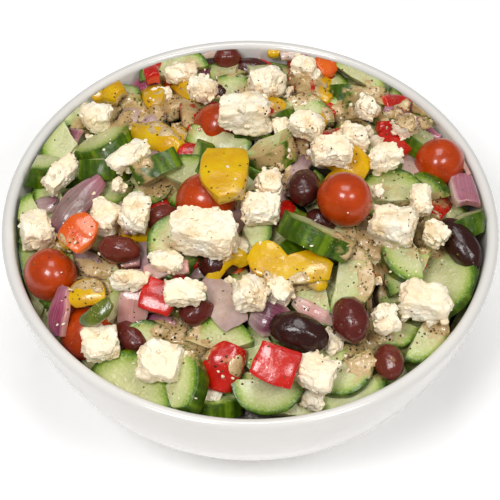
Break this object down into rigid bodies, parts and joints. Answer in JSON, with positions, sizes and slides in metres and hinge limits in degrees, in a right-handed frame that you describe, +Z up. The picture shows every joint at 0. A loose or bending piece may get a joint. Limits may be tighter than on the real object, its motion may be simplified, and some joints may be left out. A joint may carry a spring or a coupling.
{
  "type": "greek salad in a bowl",
  "caption": "Heaped Greek salad in a round white ceramic bowl: cucumber, peppers, red onion, olives, cherry tomatoes, feta chunks and a creamy herb dressing.",
  "frame": {"origin": "middle of the bowl's foot, on the table", "axes": "+Z up, -Y towards the diner, +X to the diner's right"},
  "size_m": [0.2198, 0.2198, 0.1227],
  "materials": {
    "bowl_glaze": "glossy white glaze",
    "salad": "moist mixed vegetables, glossy where wet",
    "feta": "crumbly and matt, creamy white",
    "tomato": "thin glossy skin",
    "olive": "glossy, slightly wrinkled",
    "cucumber": "wet pale flesh inside dark green skin",
    "red_pepper": "waxy skin",
    "orange_pepper": "waxy skin",
    "yellow_pepper": "waxy skin",
    "green_pepper": "waxy skin",
    "red_onion": "translucent moist layers with purple skin",
    "dressing": "creamy and wet with specks of herbs",
    "herbs": "dry dark flakes"
  },
  "bodies": {
    "root": {"bowl": "bowl_glaze", "feta_01": "feta", "feta_02": "feta", "feta_03": "feta", "feta_04": "feta", "feta_05": "feta", "feta_06": "feta", "feta_07": "feta", "feta_08": "feta", "feta_09": "feta", "feta_10": "feta", "feta_11": "feta", "feta_12": "feta", "feta_13": "feta", "feta_14": "feta", "feta_15": "feta", "feta_16": "feta", "feta_17": "feta", "feta_18": "feta", "feta_19": "feta", "feta_20": "feta", "feta_21": "feta", "feta_22": "feta", "feta_23": "feta", "feta_24": "feta", "feta_25": "feta", "feta_26": "feta", "feta_27": "feta", "feta_28": "feta", "feta_29": "feta", "feta_30": "feta", "feta_31": "feta", "feta_32": "feta", "feta_33": "feta", "olive_01": "olive", "olive_02": "olive", "olive_03": "olive", "olive_04": "olive", "olive_05": "olive", "olive_06": "olive", "olive_07": "olive", "olive_08": "olive", "olive_09": "olive", "olive_10": "olive", "salad_heap": "salad", "tomato_01": "tomato", "tomato_02": "tomato", "tomato_03": "tomato", "tomato_04": "tomato", "tomato_05": "tomato", "tomato_06": "tomato", "tomato_07": "tomato", "tomato_08": "tomato", "tomato_09": "tomato"}
  },
  "joints": []
}
